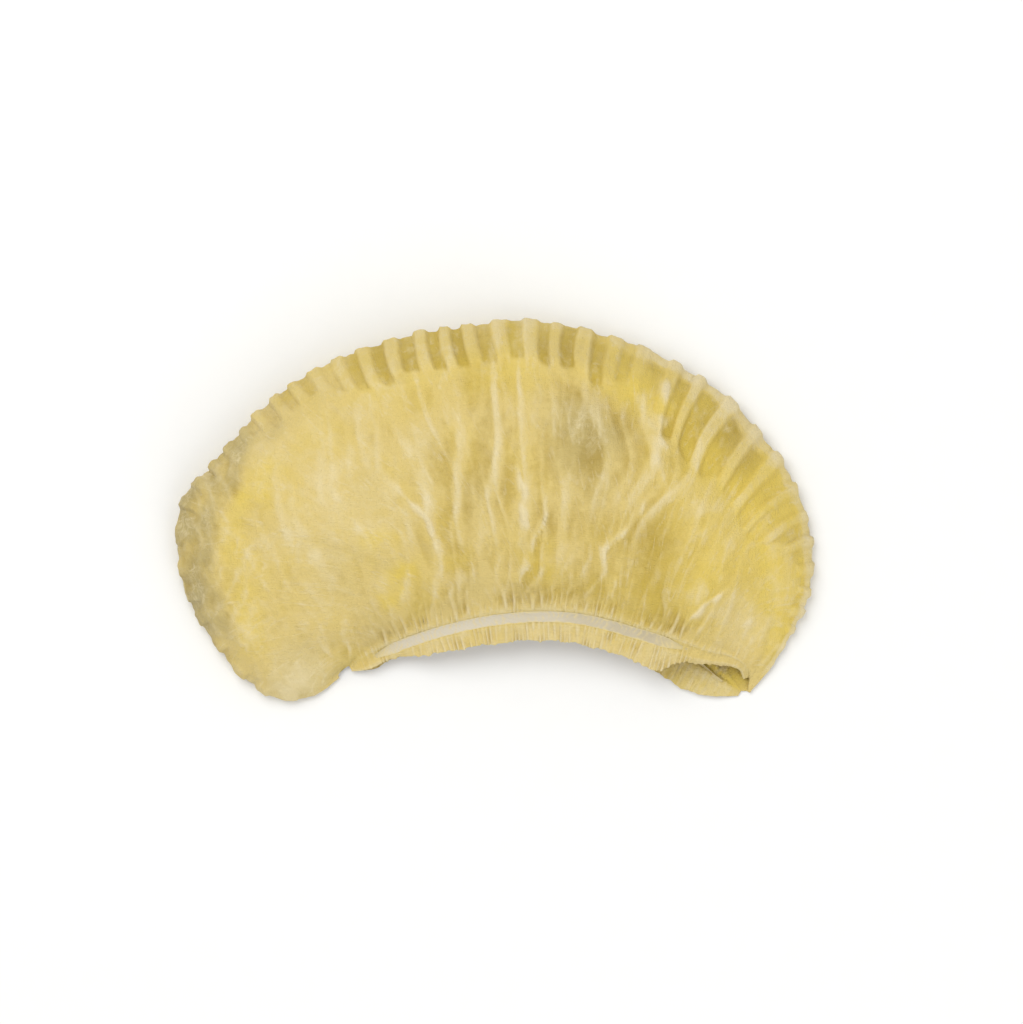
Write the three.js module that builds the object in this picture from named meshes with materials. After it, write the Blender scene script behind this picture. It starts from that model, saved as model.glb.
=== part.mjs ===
// A disposable hair cover cap: one strip of crimped nonwoven fabric, welded at both ends, with a flat
// elastic tape along each edge of its mouth. It lies relaxed on its side, as it is put down on a table.
// Millimetres. The back panel is on the ground at z = 0, the crown points along +Y, the mouth opens
// along -Y and the front panel faces up.

import * as THREE from "three";

const WALL = 1.2; // fabric wall, with the small crimps of the gathered nonwoven in its thickness
const WELD_SLIT = 0.4; // gap left between the two layers at a welded end
const FLUTES = 66; // crimped flutes along the strip, from one welded end to the other
const TAPE = { width: 5.5, thickness: 0.6, clearance: 0.3, start: 0.05 };
const FRONT_TAPE_END = 0.81; // where the front tape turns in under the fabric
const BACK_TAPE_END = 0.95;
const BACK_RIM_LIFT = 2.2; // the gathered back rim stands this much higher than the back panel
const CROWN_ROUND = 0.8; // least width of the round turn at the crown line
const WELD_REACH = 0.08; // share of the strip over which a welded end opens out
const PLAN_EASE = 0.34; // share of its run that the fabric keeps square to a rim or to the crown

// Lines of the cap seen from above, from its left welded end to its right one, as points x, y.
const CROWN_LINE = planLine([
  [-69.5, -74], [-79, -81], [-91, -83.5], [-106, -78], [-117.5, -67.5], [-136.5, -38],
  [-138.5, 0], [-117, 30], [-90, 55], [-57, 72], [-20.5, 80.5], [17, 83], [54, 75.5],
  [87.5, 60.5], [115, 36], [135, 4.5], [138.8, -33], [123.5, -66], [112, -80.5],
]);
const FRONT_RIM = planLine([
  [-64.5, -69.5], [-38, -57.5], [-2.5, -48.3], [33, -47], [66, -55], [91, -63], [103, -65.5],
  [109, -69], [111, -74],
]);
const BACK_RIM = planLine([
  [-64, -69], [-38, -54], [-2.5, -43.5], [33, -42], [62, -51], [84.5, -66], [108, -80.5],
]);

// Sections along the strip. "along" is the share of the strip's length from its left welded end.
// belly: height of the front panel; rim: height of the front rim; strip: width of the stepped strip
// that runs along the crown; flute: depth of the crown's flutes; seat: half the width of the smooth
// band under each tape; ruffles: fabric past each seat.
const SECTIONS = [
  { along: 0.0, belly: 0.6, rim: 0.2, strip: 3, flute: 0, seat: 0.8, frontRuffle: 1, backRuffle: 1 },
  { along: 0.04, belly: 10, rim: 3, strip: 7, flute: 0.4, seat: 3, frontRuffle: 1, backRuffle: 3 },
  { along: 0.1, belly: 23, rim: 6, strip: 16, flute: 0.8, seat: 3.2, frontRuffle: 2, backRuffle: 6 },
  { along: 0.2, belly: 33, rim: 11, strip: 22, flute: 1, seat: 3.2, frontRuffle: 5.5, backRuffle: 8 },
  { along: 0.32, belly: 39, rim: 15, strip: 22, flute: 1.2, seat: 3.2, frontRuffle: 6.8, backRuffle: 8 },
  { along: 0.45, belly: 42, rim: 17, strip: 20, flute: 1.5, seat: 3.2, frontRuffle: 7.4, backRuffle: 8 },
  { along: 0.58, belly: 42, rim: 17, strip: 22, flute: 1.6, seat: 3.2, frontRuffle: 7.6, backRuffle: 8 },
  { along: 0.7, belly: 38, rim: 16, strip: 27, flute: 1.8, seat: 3.2, frontRuffle: 8.6, backRuffle: 8 },
  { along: 0.77, belly: 35, rim: 16, strip: 30, flute: 1.8, seat: 3.2, frontRuffle: 10, backRuffle: 9 },
  { along: 0.83, belly: 30, rim: 14, strip: 28, flute: 1.6, seat: 3, frontRuffle: 3, backRuffle: 9 },
  { along: 0.9, belly: 20, rim: 11, strip: 17, flute: 1, seat: 2.2, frontRuffle: 1.5, backRuffle: 9 },
  { along: 0.95, belly: 10, rim: 7, strip: 8, flute: 0.5, seat: 1.6, frontRuffle: 1, backRuffle: 6 },
  { along: 1.0, belly: 0.6, rim: 0.2, strip: 3, flute: 0, seat: 0.8, frontRuffle: 1, backRuffle: 1 },
];
const SECTION_COLUMNS = Object.keys(SECTIONS[0]).slice(1);

// Rows across the strip, from the front ruffle's edge over the crown to the back ruffle's edge.
// Place: ruffle and tape are measured out from the rim's line, inward is the share of the panel
// between the rim and the crown's strip, inset the share of the strip still to go to the crown line.
// Height: shares of the section's rim and belly heights. flute: share of the section's flute depth.
const ROWS = [
  { side: "front", ruffle: 1, rim: 0.86, flute: 0.45 },
  { side: "front", tape: -1, rim: 1 },
  { side: "front", tape: 1, rim: 1, belly: 0.02 },
  { side: "front", inward: 0.12, rim: 0.55, belly: 0.44, flute: 0.3 },
  { side: "front", inward: 0.3, rim: 0.2, belly: 0.76, flute: 0.35 },
  { side: "front", inward: 0.52, belly: 0.96, flute: 0.35 },
  { side: "front", inward: 0.74, belly: 1, flute: 0.35 },
  { side: "front", inward: 0.9, belly: 0.92, flute: 0.5 },
  { side: "front", inward: 1, belly: 0.8, flute: 0.7 },
  { side: "front", inset: 0.72, belly: 0.8, flute: 1 },
  { side: "front", inset: 0.36, belly: 0.55, flute: 1 },
  { side: "front", inset: 0.1, belly: 0.34, flute: 1 },
  { side: "crown", inset: 0, belly: 0.18, flute: 1 },
  { side: "back", inset: 0.1, belly: 0.04, flute: 0.6 },
  { side: "back", inset: 0.34, ground: true },
  { side: "back", inward: 0.16, ground: true },
  { side: "back", tape: 1, lift: 1 },
  { side: "back", tape: -1, lift: 1 },
  { side: "back", ruffle: 1, lift: 0.7, flute: 0.45 },
];
const FRONT_TAPE_ROWS = [1, 2];
const BACK_TAPE_ROWS = [16, 17];

// Large soft folds on the front panel: a ridge or, below zero, a hollow from one place to another.
// A place is the share along the strip and the share of the way from the rim to the crown line.
const FOLDS = [
  { from: [0.3, 0.25], to: [0.29, 0.75], rise: -2.5, width: 0.02 },
  { from: [0.4, 0.15], to: [0.35, 0.5], rise: 2.5, width: 0.02 },
  { from: [0.52, 0.2], to: [0.53, 0.7], rise: 2.5, width: 0.018 },
  { from: [0.6, 0.15], to: [0.66, 0.5], rise: 3, width: 0.018 },
  { from: [0.64, 0.5], to: [0.65, 0.8], rise: 2.5, width: 0.02 },
  { from: [0.72, 0.15], to: [0.72, 0.6], rise: -3, width: 0.025 },
  { from: [0.85, 0.15], to: [0.84, 0.5], rise: 2.5, width: 0.018 },
];

const COLUMNS = 2 * FLUTES; // each flute has a ridge and a valley
const UP = new THREE.Vector3(0, 0, 1);
const DOWN = new THREE.Vector3(0, 0, -1);

function planLine(points) {
  const vectors = points.map(([x, y]) => new THREE.Vector3(x, y, 0));
  const line = new THREE.CatmullRomCurve3(vectors, false, "centripetal");
  line.arcLengthDivisions = 600;
  return line;
}

// The direction square to a plan line, on the side that faces away from the mouth.
function square(line, along) {
  const tangent = line.getTangentAt(along);
  return new THREE.Vector3(-tangent.y, tangent.x, 0);
}

// Every column of SECTIONS at any place along the strip, on smooth curves through its rows.
const sectionCurves = new THREE.CubicInterpolant(
  SECTIONS.map((row) => row.along),
  SECTIONS.flatMap((row) => SECTION_COLUMNS.map((name) => row[name])),
  SECTION_COLUMNS.length,
);
function sectionAt(along) {
  const values = sectionCurves.evaluate(along);
  return Object.fromEntries(SECTION_COLUMNS.map((name, k) => [name, values[k]]));
}

// Height added by the folds at a place on the front panel.
function foldRise(along, across) {
  const here = new THREE.Vector2(along, across);
  return FOLDS.reduce((sum, fold) => {
    const start = new THREE.Vector2(...fold.from);
    const run = new THREE.Vector2(...fold.to).sub(start);
    const share = THREE.MathUtils.clamp(here.clone().sub(start).dot(run) / run.lengthSq(), 0, 1);
    const middle = start.addScaledVector(run, share);
    const sideways = (along - middle.x) / fold.width;
    const lengthways = (across - middle.y) / 0.12;
    return sum + fold.rise * Math.exp(-sideways * sideways - lengthways * lengthways);
  }, 0);
}

// One point of the fabric's middle surface, before its flutes.
function fabricPoint(along, row) {
  const shape = sectionAt(along);
  const back = row.side === "back";
  const rimLine = back ? BACK_RIM : FRONT_RIM;
  const rim = rimLine.getPointAt(along);
  const intoPanel = square(rimLine, along);
  const crown = CROWN_LINE.getPointAt(along);
  const outward = square(CROWN_LINE, along);
  const reach = rim.distanceTo(crown);
  const strip = Math.min(shape.strip, reach / 2);

  const point = new THREE.Vector3();
  let across = 0;
  if (row.ruffle) {
    const ruffle = back ? shape.backRuffle : shape.frontRuffle;
    point.copy(rim).addScaledVector(intoPanel, -shape.seat - ruffle);
  } else if (row.tape) {
    point.copy(rim).addScaledVector(intoPanel, row.tape * shape.seat);
  } else {
    const panel = reach - shape.seat - strip;
    const inset = row.side === "crown" ? 0 : CROWN_ROUND + strip * row.inset;
    const run = row.inset === undefined ? shape.seat + panel * row.inward : reach - inset;
    across = run / reach;
    const path = new THREE.CubicBezierCurve3(
      rim,
      rim.clone().addScaledVector(intoPanel, PLAN_EASE * reach),
      crown.clone().addScaledVector(outward, -PLAN_EASE * reach),
      crown,
    );
    path.getPoint(across, point);
  }

  const layers = { front: 1, crown: 0.5, back: 0 }[row.side];
  const backLift = Math.min(BACK_RIM_LIFT, 0.35 * shape.rim);
  point.z =
    WALL / 2 +
    layers * (WALL + WELD_SLIT) +
    (row.rim ?? 0) * shape.rim +
    (row.belly ?? 0) * shape.belly +
    (row.lift ?? 0) * backLift +
    (row.inward && !back ? foldRise(along, across) : 0);
  return point;
}

// The fabric's middle surface as a grid, with its outward normal and the flutes that stand on it.
const grid = [];
for (let i = 0; i <= COLUMNS; i++) grid.push(ROWS.map((row) => fabricPoint(i / COLUMNS, row)));

function direction(from, to) {
  return to.clone().sub(from).normalize();
}

// Near a welded end the layers lie flat on each other, so their normals turn upright there.
function outwardNormal(i, j) {
  const { side, ground } = ROWS[j];
  if (ground) return DOWN;
  const last = ROWS.length - 1;
  const lengthways = direction(grid[Math.max(i - 1, 0)][j], grid[Math.min(i + 1, COLUMNS)][j]);
  const crossways = new THREE.Vector3();
  if (j > 0) crossways.add(direction(grid[i][j - 1], grid[i][j]));
  if (j < last) crossways.add(direction(grid[i][j], grid[i][j + 1]));
  const normal = lengthways.cross(crossways).normalize();
  if (side === "crown") return normal;
  const toWeld = Math.min(i, COLUMNS - i) / COLUMNS;
  const upright = side === "front" ? UP : DOWN;
  return upright.clone().lerp(normal, THREE.MathUtils.smoothstep(toWeld, 0, WELD_REACH)).normalize();
}

// A point on the fabric's outer or inner face, a given distance out from the middle surface.
function facePoint(i, j, distance) {
  const side = i % 2 ? 1 : -1;
  const atWeld = i === 0 || i === COLUMNS;
  const depth = atWeld ? 0 : (side * (ROWS[j].flute ?? 0) * sectionAt(i / COLUMNS).flute) / 2;
  return grid[i][j].clone().addScaledVector(outwardNormal(i, j), distance + depth);
}

// A closed solid through rings with the same even number of points, where point k of a ring lies
// across the wall from point n - 1 - k. Each end is closed by the quads between such pairs.
function loft(rings) {
  const n = rings[0].length;
  const faces = [];
  const quad = (a, b, c, d) => faces.push(a, b, c, a, c, d);
  const at = (ring, k) => ring * n + (k % n);
  for (let ring = 0; ring < rings.length - 1; ring++) {
    for (let k = 0; k < n; k++) {
      quad(at(ring, k), at(ring + 1, k), at(ring + 1, k + 1), at(ring, k + 1));
    }
  }
  const last = rings.length - 1;
  for (let k = 0; k < n / 2 - 1; k++) {
    quad(at(0, k), at(0, k + 1), at(0, n - 2 - k), at(0, n - 1 - k));
    quad(at(last, k + 1), at(last, k), at(last, n - 1 - k), at(last, n - 2 - k));
  }
  const geometry = new THREE.BufferGeometry().setFromPoints(rings.flat());
  geometry.setIndex(faces);
  geometry.computeVertexNormals();
  return geometry;
}

// The whole fabric: its outer face one way round the section and its inner face back again.
function capBody() {
  const rings = grid.map((_, i) => {
    const outer = ROWS.map((_, j) => facePoint(i, j, WALL / 2));
    const inner = ROWS.map((_, j) => facePoint(i, j, -WALL / 2));
    return [...outer, ...inner.reverse()];
  });
  return loft(rings);
}

// A flat tape on the outer face of the fabric, between the two rows that hold it.
function elasticTape([rowA, rowB], end) {
  const low = WALL / 2 + TAPE.clearance;
  const high = low + TAPE.thickness;
  const rings = [];
  for (let i = 0; i <= COLUMNS; i += 2) {
    const along = i / COLUMNS;
    if (along < TAPE.start || along > end) continue;
    const seat = 2 * sectionAt(along).seat;
    const corner = (side, height) => {
      const share = 0.5 + (side * TAPE.width) / seat / 2;
      return facePoint(i, rowA, height).lerp(facePoint(i, rowB, height), share);
    };
    rings.push([corner(-1, high), corner(1, high), corner(1, low), corner(-1, low)]);
  }
  return loft(rings);
}

const nonwoven = { color: 0xd9c27c, roughness: 0.9, metalness: 0 };
const elastic = { color: 0xe2d6b8, roughness: 0.75, metalness: 0 };

const group = new THREE.Group();
function addPiece(name, geometry, finish) {
  const piece = new THREE.Mesh(geometry, new THREE.MeshStandardMaterial(finish));
  piece.name = name;
  group.add(piece);
}
addPiece("cap_body", capBody(), nonwoven);
addPiece("elastic_front", elasticTape(FRONT_TAPE_ROWS, FRONT_TAPE_END), elastic);
addPiece("elastic_back", elasticTape(BACK_TAPE_ROWS, BACK_TAPE_END), elastic);

export default group;
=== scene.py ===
"""Looks of the disposable hair cover cap, as an add-on that is run as a script.

The fabric is one grid: its columns run along the strip from weld to weld, and its rows run from the
front ruffle's edge over the crown to the back ruffle's edge. Plan lines, sections and rows repeat
the part's own, in millimetres, apart from a front rim that lies a little lower near its left end.
Flutes, gathers, wrinkles and folds stand on that grid along its normals, and slices of it become
the pieces.
"""

import math

import bpy
import numpy as np
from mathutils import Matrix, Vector


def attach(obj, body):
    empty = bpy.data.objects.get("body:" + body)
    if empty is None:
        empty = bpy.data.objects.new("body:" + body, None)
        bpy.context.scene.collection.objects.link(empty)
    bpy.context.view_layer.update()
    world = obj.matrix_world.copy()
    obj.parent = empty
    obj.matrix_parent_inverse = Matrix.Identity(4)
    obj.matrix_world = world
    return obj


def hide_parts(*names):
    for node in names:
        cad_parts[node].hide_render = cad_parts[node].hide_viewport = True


bl_info = {
    "name": "Hair Cover Cap Looks",
    "version": (1, 0, 0),
    "blender": (4, 5, 0),
    "location": "View3D > Sidebar > Hair Cap",
    "description": "Builds the fabric, elastic tapes and stage of a hair cover cap",
    "category": "Object",
}

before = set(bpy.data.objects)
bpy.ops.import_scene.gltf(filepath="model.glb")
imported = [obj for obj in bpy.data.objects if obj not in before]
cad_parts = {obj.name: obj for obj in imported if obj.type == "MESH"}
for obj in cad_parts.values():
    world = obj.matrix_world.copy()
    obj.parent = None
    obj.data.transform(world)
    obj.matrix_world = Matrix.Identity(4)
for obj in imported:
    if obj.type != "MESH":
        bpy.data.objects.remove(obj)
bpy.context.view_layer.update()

MM = 0.001
COLUMNS = 704
CROWN_LENGTH = 530.0
WALL = 1.2  # the part's fabric wall; the dressed fabric lies in its middle
WELD_SLIT = 0.4  # between the two layers at the welds
CROWN_ROUND = 0.8  # how far the crown's edge stands out past the strips beside it
WELD_REACH = 0.08  # share of the strip over which the fabric opens from a weld
PLAN_EASE = 0.34  # how far a row's curve leaves a rim squarely, as a share of the way to the crown
BACK_RIM_LIFT = 2.2
SQUARE_PASSES = 120
ROUNDING_PASSES = 30
RUFFLE_EDGE = 1.1  # how far the ruffles' edges wander
LOWEST = 0.3  # no cloth sinks below this height
LANDING = 0.4  # the height over LOWEST in which sinking cloth is slowed down
# The relief's painted highlight and painted shade are full at these heights.
STANDS_NEAR, STANDS_WIDE = 0.9, 3.2  # heights over the near and wider places that count as full
PLEAT_MIDDLE = 0.45  # a pleat's mean height, so that gathers and wrinkles don't lift the fabric
FRONT_TAPE_SPAN = (0.05, 0.83)
BACK_TAPE_SPAN = (0.05, 0.95)

# Lines of the cap seen from above, from its left weld to its right one, as points x, y.
CROWN_LINE = [
    (-69.5, -74), (-79, -81), (-91, -83.5), (-106, -78), (-117.5, -67.5), (-136.5, -38),
    (-138.5, 0), (-117, 30), (-90, 55), (-57, 72), (-20.5, 80.5), (17, 83), (54, 75.5),
    (87.5, 60.5), (115, 36), (135, 4.5), (138.8, -33), (123.5, -66), (112, -80.5),
]
FRONT_RIM = [
    (-64.5, -69.5), (-38, -57.5), (-2.5, -48.3), (33, -47), (66, -55), (91, -63),
    (103, -65.5), (109, -69), (111, -74),
]
BACK_RIM = [
    (-64, -69), (-38, -54), (-2.5, -43.5), (33, -42), (62, -51), (84.5, -66), (108, -80.5),
]

# Sections along the strip: share along it, belly height, rim height, width of the crown's strip,
# half width of the band under a tape, front ruffle and back ruffle.
SECTION_COLUMNS = ("belly", "rim", "strip", "seat", "front_ruffle", "back_ruffle")
SECTIONS = np.array([
    (0.0, 0.6, 0.2, 3, 0.8, 1, 1),
    (0.04, 10, 3, 7, 3, 1, 3),
    (0.1, 23, 4.5, 16, 3.2, 1, 3.5),
    (0.2, 33, 11, 22, 3.2, 5.5, 6.5),
    (0.32, 39, 15, 22, 3.2, 6.8, 8),
    (0.45, 42, 17, 20, 3.2, 7.4, 8),
    (0.58, 42, 17, 22, 3.2, 7.6, 8),
    (0.7, 38, 16, 27, 3.2, 8.6, 8),
    (0.77, 35, 16, 30, 3.2, 10, 9),
    (0.83, 30, 14, 28, 3, 3, 9),
    (0.9, 20, 11, 17, 2.2, 1.5, 9),
    (0.95, 10, 7, 8, 1.6, 1, 6),
    (1.0, 0.6, 0.2, 3, 0.8, 1, 1),
])

# Rows across the strip: side, kind of place, its value, shares of rim and belly heights and of the
# back rim's lift, and the number of steps of the grid up to the next row.
ROWS = [
    ("front", "ruffle", 1, 0.86, 0, 0, 13),
    ("front", "tape", -1, 1, 0, 0, 6),
    ("front", "tape", 1, 1, 0.02, 0, 11),
    ("front", "inward", 0.12, 0.55, 0.44, 0, 12),
    ("front", "inward", 0.3, 0.2, 0.76, 0, 12),
    ("front", "inward", 0.52, 0, 0.96, 0, 12),
    ("front", "inward", 0.74, 0, 1, 0, 10),
    ("front", "inward", 0.9, 0, 0.92, 0, 9),
    ("front", "inward", 1, 0, 0.8, 0, 8),
    ("front", "inset", 0.72, 0, 0.8, 0, 9),
    ("front", "inset", 0.36, 0, 0.55, 0, 8),
    ("front", "inset", 0.1, 0, 0.34, 0, 5),
    ("crown", "inset", 0, 0, 0.18, 0, 5),
    ("back", "inset", 0.1, 0, 0.04, 0, 7),
    ("back", "inset", 0.34, 0, 0, 0, 26),
    ("back", "inward", 0.16, 0, 0, 0, 8),
    ("back", "tape", 1, 0, 0, 1, 5),
    ("back", "tape", -1, 0, 0, 1, 10),
    ("back", "ruffle", 1, 0, 0, 0.7, 0),
]
FRONT_EDGE, CROWN, BACK_EDGE = 0, 12, 18
FRONT_BAND, BACK_BAND = (1, 2), (16, 17)

# The fabric's pieces: first and last row, what the piece rests on, and the length, width and area
# of its crimped cloth laid flat, in metres. Each is a crescent that narrows towards both welds.
FABRIC_PIECES = {
    "ruffle_front": (0, 2, ["front_panel"], 0.215, 0.0145, 0.0026),
    "front_panel": (2, 8, ["crown"], 0.53, 0.122, 0.031),
    "crown": (8, 14, ["back_panel"], 0.62, 0.056, 0.028),
    "back_panel": (14, 18, ["crown"], 0.53, 0.135, 0.034),
}

# Values that change along the strip, as pairs of a share along it and the value there. Flutes have
# a pitch and a depth in millimetres, the row that they reach in to, the share of a turn that their
# ridge holds, and the painted shade of their hollows and painted highlight of their crests.
BY_SHARE = {
    "flute_pitch": [
        (0, 11), (0.2, 14), (0.28, 9), (0.38, 10), (0.42, 11.5), (0.64, 12.5), (0.68, 15.5),
        (0.8, 15), (0.88, 10), (1, 8),
    ],
    "flute_depth": [
        (0, 0), (0.05, 0.8), (0.2, 1.2), (0.3, 1.1), (0.42, 1.3), (0.6, 1.4), (0.7, 1.3),
        (0.82, 1.3), (0.92, 1.0), (1, 0),
    ],
    "flute_start": [
        (0, 10.6), (0.24, 10.4), (0.3, 9.9), (0.38, 9.6), (0.42, 8.1), (0.62, 8.1), (0.655, 9),
        (0.69, 7.2), (0.83, 7.5), (0.87, 9.6), (1, 10.4),
    ],
    "flute_ridge": [
        (0, 0.3), (0.42, 0.34), (0.63, 0.32), (0.68, 0.24), (0.84, 0.2), (0.88, 0.25), (1, 0.3),
    ],
    # The strength of the painted shade in the flutes' hollows, and of the painted highlight on their
    # crests.
    "valley_shade_strength": [
        (0, 0.2), (0.24, 0.15), (0.3, 0.2), (0.39, 0.35), (0.43, 1.0), (0.62, 1.0), (0.66, 0.5),
        (0.69, 1.0), (0.84, 0.9), (0.88, 0.4), (1, 0.2),
    ],
    "ridge_highlight_strength": [(0.62, 1), (0.7, 2.2), (0.84, 2.2), (0.9, 1)],
    "lobes": [(0.02, 0), (0.06, 0.6), (0.12, 1), (0.3, 0.8), (0.38, 0)],
    "pale_rim": [(0.4, 0), (0.62, 0.3), (0.68, 1), (0.8, 0.8), (0.96, 0.7), (1, 0)],
    "lip": [(0.36, 0), (0.43, 1), (0.62, 0.8), (0.66, 0)],
    "gathers": [(0.8, 1), (0.88, 0.35)],
    "open_corner": [(0.8, 0), (0.86, 1), (0.97, 1), (1, 0)],
    "warm_strip": [(0.32, 0), (0.42, 1), (0.9, 1), (0.97, 0.5)],
    "left_end": [(0.1, 0), (0.14, 1), (0.28, 1), (0.36, 0)],
    "tape_cover": [(0.8, 0), (0.86, 1)],
    "tape_patches": [(0.3, 0.0), (0.5, 0.5), (0.65, 1.2)],
}

# The same for what changes across the strip, as pairs of a row and the value there.
BY_ROW = {
    "rounded": [(1, 0), (1.8, 1), (2.6, 1), (3.6, 0), (5, 0), (7, 1), (9.5, 1), (11, 0)],
    "flutes": [(12, 1), (13, 0.8), (14, 0.45), (15, 0.1), (16, 0)],
    "lobes": [(10, 0), (11.5, 1), (12.5, 1), (14, 0)],
    "crimps": [(9, 0), (11, 1), (13, 1), (15, 0)],
    # Rows that take the painted shade of the flutes' hollows.
    "valley_shade_strength": [(11.8, 1), (12.3, 0.3)],
    "pale_rim": [(10.6, 0), (11.1, 1), (12.4, 1), (13, 0)],
    "lip": [(7.2, 0), (7.75, -0.3), (8.0, 0), (8.3, 0.4), (9, 0.2), (9.6, 0)],
    "gathers": [
        (0, 1.6), (0.8, 1.2), (1, 0.85), (1.5, 0.6), (2, 0.85), (2.25, 1.3), (3, 1), (12, 1),
        (15.6, 1), (16, 0.3), (17, 0.3), (18, 1.2),
    ],
    "wrinkles": [
        (2, 0), (2.8, 0.6), (3.5, 1), (7.3, 1), (8, 0.7), (12, 0.3), (13, 0.6), (15.6, 0.6),
        (16, 0),
    ],
    "crumples": [
        (0, 0.2), (2, 0.15), (3.5, 1), (12, 1), (13.5, 0.8), (15, 0.8), (16, 0.2), (18, 0.2),
    ],
    "folds": [(2, 0.3), (2.5, 1), (10, 1), (11, 0.3), (12, 0), (18, 0)],
    "bead": [(0.6, 0), (1, 0.45), (1.12, 0.1), (1.5, 0), (1.88, 0.1), (2, 0.5), (2.4, 0)],
    "warm_strip": [(6.4, 0), (7.8, 1), (12, 1), (13, 0.3), (14, 0)],
    "grey_edge": [(8.6, 0), (9.8, 1), (12, 1), (13, 0)],
    "warm_left": [(5.5, 0), (7.5, 1), (8.4, 1), (9.4, 0)],
    # Rows of painted light on the front ruffle, of painted shade on the back panel's inner face and
    # in the open corner's hollow, and of painted light on the back ruffle at that corner.
    "pale_ruffle": [(0, 1), (0.8, 1), (1, 0)],
    "inside_shade": [(12.6, 0), (14, 1), (16, 1), (17, 0)],
    "corner_flap_light": [(16.4, 0), (17, 1), (18, 1)],
    "corner_hollow_shade": [(12.6, 0), (13.5, 1), (15.5, 1), (15.8, 0)],
}

# Wrinkles and gathers fan out from a place below the mouth. Gathers have a pitch, the distances
# from the tape where they begin and end, a height and a seed; wrinkles a pitch, the length over
# which they change, a height and a seed, and shares of that height by x.
FAN_CENTRE = (10.0, -250.0)
FAN_REACH = 200.0
GATHERS = [(2.3, -40, 13, 0.55, 21), (4.6, 0, 26, 0.75, 22), (8.0, 6, 55, 0.5, 23)]
WRINKLES = [(12, 60, 0.9, 32), (6.5, 38, 0.6, 33), (3.6, 20, 0.25, 34)]
WRINKLE_PLACES = [(-120, 0.25), (-70, 0.4), (-30, 0.8), (0, 1), (60, 1), (90, 0.7), (120, 0.5)]

# The rumpled lump at the puffed end, as a bell: its place x, y and its reach in x and y.
LUMP = (-124, -25, 22, 50)

# Folds seen in the front panel: the points that one runs through, its rise and its half width. The
# steep side of a fold is on the left as one goes along it, or on the right where its width is below
# zero.
FOLD_RISE = 0.6
STEEP_SIDE, SOFT_SIDE = 0.6, 1.6
FOLDS = [
    ([(-46.6, 17.8), (-31.2, -4.2), (-19.4, -21.8)], 1.8, 1.6),
    ([(-17, -10), (-12, -29)], -1.0, 3.0),
    ([(10.6, 24.4), (13.2, -13)], 1.5, 1.2),
    ([(24.6, 9), (17.2, -15.2), (12.8, -26.2), (7, -35)], 1.7, 1.1),
    ([(70, 9), (56.8, -8.6), (48, -17.4), (44.9, -35)], 1.8, 1.2),
    ([(53.2, -28.4), (50.2, -39.4)], 1.4, 1.0),
    ([(72.6, 68), (72.6, 4.6)], 1.5, 2.6),
    ([(107, -4), (86, -48)], 0.8, 4.5),
    ([(98, 8), (80, -30)], 0.6, 4.0),
    ([(105.2, -56.1), (116.6, -40.3)], 0.9, 3.5),
    ([(81.8, -49.5), (103, -32.3)], 1.6, 1.3),
    ([(-86, -4), (-64, -39)], 0.6, 2.4),
    ([(-73, 13), (-51, -22)], 0.6, 2.2),
    ([(-99, -22), (-82, -53)], 0.6, 2.4),
]

# Tones of the fabric: side, place x, y, reach in x and y, how much warmer or, below zero, greyer,
# and how much darker or paler it is there. The back's are the weld's pressed mark and its dots.
TONES = [
    ("front", -108, -42, 8, 18, 0.6, -0.1),
    ("front", -100, 20, 14, 12, 0.35, -0.1),
    ("front", -64, 6, 34, 44, 0.0, -0.25),
    ("front", -87, -77, 15, 12, -0.4, -0.9),
    ("front", 40, 34, 14, 22, -0.6, 0.7),
    ("front", 64, 52, 13, 14, 0.7, 0.25),
    ("front", 72, -26, 24, 24, 0.3, 0.75),
    ("front", 100, -20, 30, 34, 0.6, -0.15),
    ("front", 129, -43, 11, 18, 1.2, -0.2),
    ("front", 126, 10, 12, 20, 0.8, 0.1),
    ("front", -15, -21, 5, 6, 0.5, 0.15),
    ("front", 20, -22, 9, 10, 0.7, 0.4),
    ("front", -40, -27, 7, 5, 1.1, 0.1),
    ("front", -47, -37, 5, 4, 1.0, 0.2),
    ("front", -50, -14, 6, 4, 0.8, 0.0),
    ("front", 106, -50, 9, 12, -0.3, -0.4),
    ("back", 100, -70, 3.2, 3.6, -0.8, -1.2),
    ("back", 98.6, -69, 0.9, 0.9, 0.0, 2.0),
    ("back", 101.6, -68, 0.9, 0.9, 0.0, 2.0),
    ("back", 99.6, -72, 0.9, 0.9, 0.0, 2.0),
]

# The tapes' weave, in metres, and the soft lamps: name, place, size and share of the key's power.
RIB_PITCH = 0.00062
STITCH_PITCH = 0.001208305
LAMPS = [("key", (-0.6, 0.8, 1.6), 1.4, 1.0), ("front", (0.9, -1.2, 1.2), 1.6, 0.6)]
CAMERA_PLACE = (0.0068, -0.0007)
FLOOR_REACH = 2.5


def hermite(start, end, leaving, reaching, t):
    """The cubic from start to end with the given slopes, each weighed by the usual blend of t."""
    return (
        (2 * t**3 - 3 * t**2 + 1) * start
        + (t**3 - 2 * t**2 + t) * leaving
        + (3 * t**2 - 2 * t**3) * end
        + (t**3 - t**2) * reaching
    )


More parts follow.
